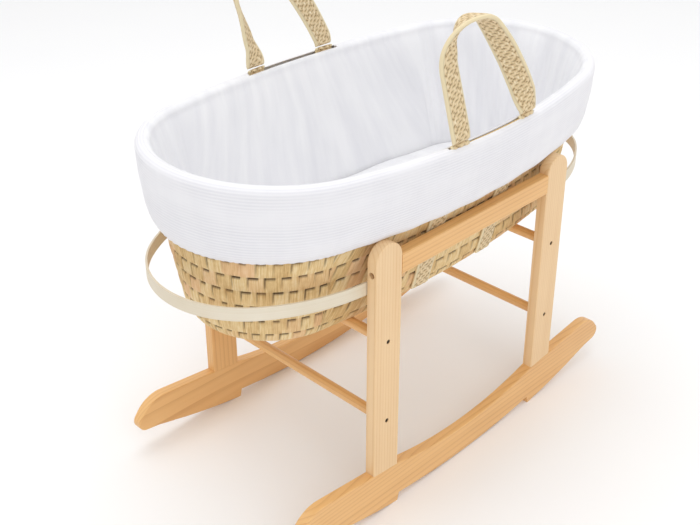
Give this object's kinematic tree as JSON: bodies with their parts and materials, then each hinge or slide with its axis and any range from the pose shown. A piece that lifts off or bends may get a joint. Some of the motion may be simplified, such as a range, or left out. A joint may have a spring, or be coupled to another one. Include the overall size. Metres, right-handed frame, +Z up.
{
  "type": "moses basket with stand",
  "caption": "Plaited oval baby basket with padded fabric cover, mattress and carrying handles, resting between the side rails of a wooden rocking stand with bent end strips.",
  "frame": {"origin": "on the floor, midway between the rocker tips and midway across the stand, under the middle of the basket", "axes": "+X along the basket and the rockers towards the right-hand end in the picture, +Y across it from the near side to the far side, +Z up"},
  "size_m": [0.848, 0.4572, 0.7596],
  "materials": {
    "pine": "clear satin lacquer",
    "bent_strip": "unpolished",
    "beech_pin": "raw",
    "dark_screw": "black oxide",
    "zinc_steel": "zinc plated",
    "plaited_leaf": "dry plaited leaf",
    "braided_strap": "dry braided leaf",
    "white_cotton": "soft ribbed cotton",
    "quilted_lining": "soft padded cotton",
    "elastic": "woven elastic",
    "foam": "soft foam",
    "mattress_ticking": "soft cotton"
  },
  "bodies": {
    "stand": {"rocker_front": "pine", "rocker_back": "pine", "post_front_left": "pine", "post_front_right": "pine", "post_back_left": "pine", "post_back_right": "pine", "side_rail_front": "pine", "side_rail_back": "pine", "lower_crossbar_left": "pine", "lower_crossbar_right": "pine", "upper_crossbar_left": "pine", "upper_crossbar_right": "pine", "end_hoop_left": "bent_strip", "end_hoop_right": "bent_strip", "crossbar_screws": "dark_screw", "rail_bolts": "zinc_steel", "rail_barrel_nuts": "zinc_steel", "rail_pins": "beech_pin", "post_pins": "beech_pin", "rocker_screws": "zinc_steel", "hoop_screws": "dark_screw"},
    "basket": {"basket_base": "plaited_leaf", "basket_wall": "plaited_leaf", "basket_rim": "plaited_leaf", "handle_tails_front": "braided_strap", "handle_tails_back": "braided_strap", "cover_skirt": "white_cotton", "cover_rim_roll": "white_cotton", "cover_liner": "quilted_lining", "hem_elastic": "elastic"},
    "mattress": {"mattress_core": "foam", "mattress_cover": "mattress_ticking"},
    "handle_front": {"handle_front": "braided_strap"},
    "handle_back": {"handle_back": "braided_strap"}
  },
  "joints": [
    {"name": "basket_lift", "type": "slide", "parent": "stand", "child": "basket", "axis": [0, 0, 1], "range_m": [0, 0.2]},
    {"name": "mattress_lift", "type": "slide", "parent": "basket", "child": "mattress", "axis": [0, 0, 1], "range_m": [0, 0.26]},
    {"name": "handle_front_turn", "type": "hinge", "parent": "basket", "child": "handle_front", "pos_m": [0, -0.21027, 0.5835], "axis": [1, 0, 0], "range_deg": [-18, 120]},
    {"name": "handle_back_turn", "type": "hinge", "parent": "basket", "child": "handle_back", "pos_m": [0, 0.21027, 0.5835], "axis": [-1, 0, 0], "range_deg": [-18, 120]}
  ]
}
